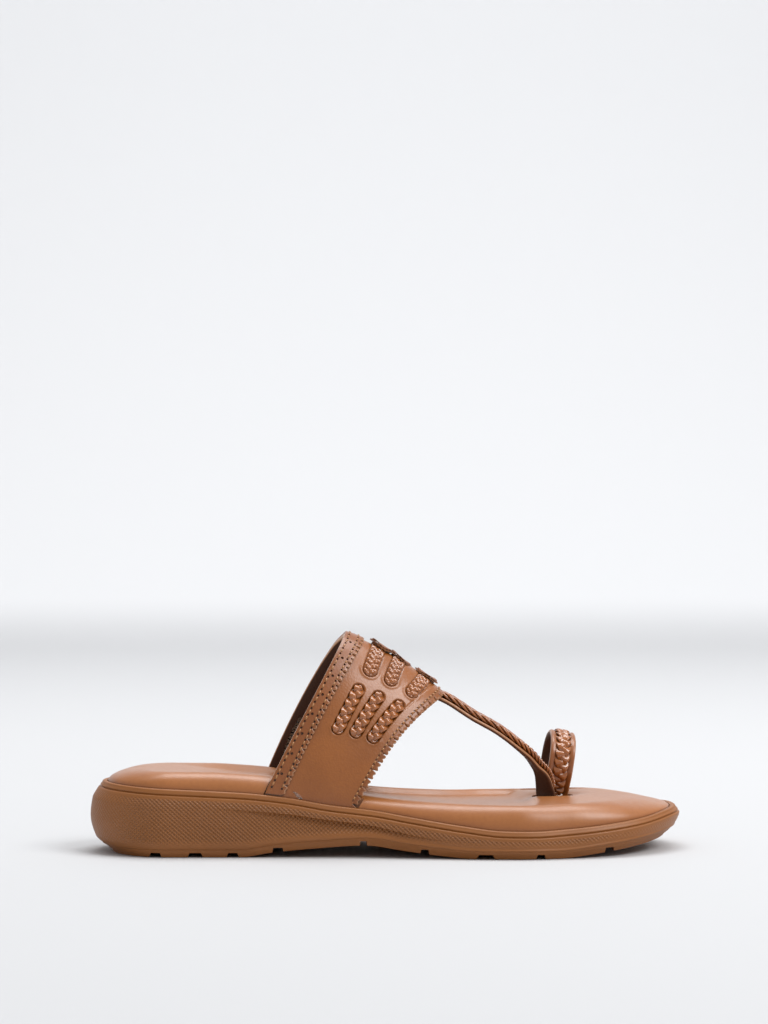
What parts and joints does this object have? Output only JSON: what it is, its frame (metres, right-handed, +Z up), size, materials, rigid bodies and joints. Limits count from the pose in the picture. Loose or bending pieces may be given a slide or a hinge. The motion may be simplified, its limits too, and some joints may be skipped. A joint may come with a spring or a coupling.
{
  "type": "toe ring sandal",
  "caption": "Tan kolhapuri style sandal with an inset braided instep band, a twisted toe strap, a braided toe ring, and a padded footbed on a moulded sole.",
  "frame": {"origin": "middle of the sole's outline seen from above, on the floor", "axes": "+X towards the toe, +Y towards the big toe side, +Z up"},
  "size_m": [0.2528, 0.0924, 0.093],
  "materials": {
    "sole_compound": "satin, finely knurled side",
    "footbed_leather": "glossy smooth",
    "band_leather": "semi gloss",
    "trim_leather": "semi gloss, pinked edge",
    "braid_leather": "semi gloss plait",
    "ring_leather": "semi gloss",
    "rosette_leather": "semi gloss, dark underside"
  },
  "bodies": {
    "root": {"outsole": "sole_compound", "footbed": "footbed_leather", "upper": "band_leather", "rear_trim": "trim_leather", "front_trim": "trim_leather", "toe_strap_braid": "braid_leather", "toe_ring": "ring_leather", "toe_ring_braid": "braid_leather", "braid_outer_rear": "braid_leather", "braid_outer_middle": "braid_leather", "braid_outer_front": "braid_leather", "braid_crest_rear": "braid_leather", "braid_crest_middle": "braid_leather", "braid_crest_front": "braid_leather", "braid_inner_rear": "braid_leather", "braid_inner_middle": "braid_leather", "braid_inner_front": "braid_leather", "rosette_rear": "rosette_leather", "rosette_middle": "rosette_leather", "rosette_front": "rosette_leather"}
  },
  "joints": []
}
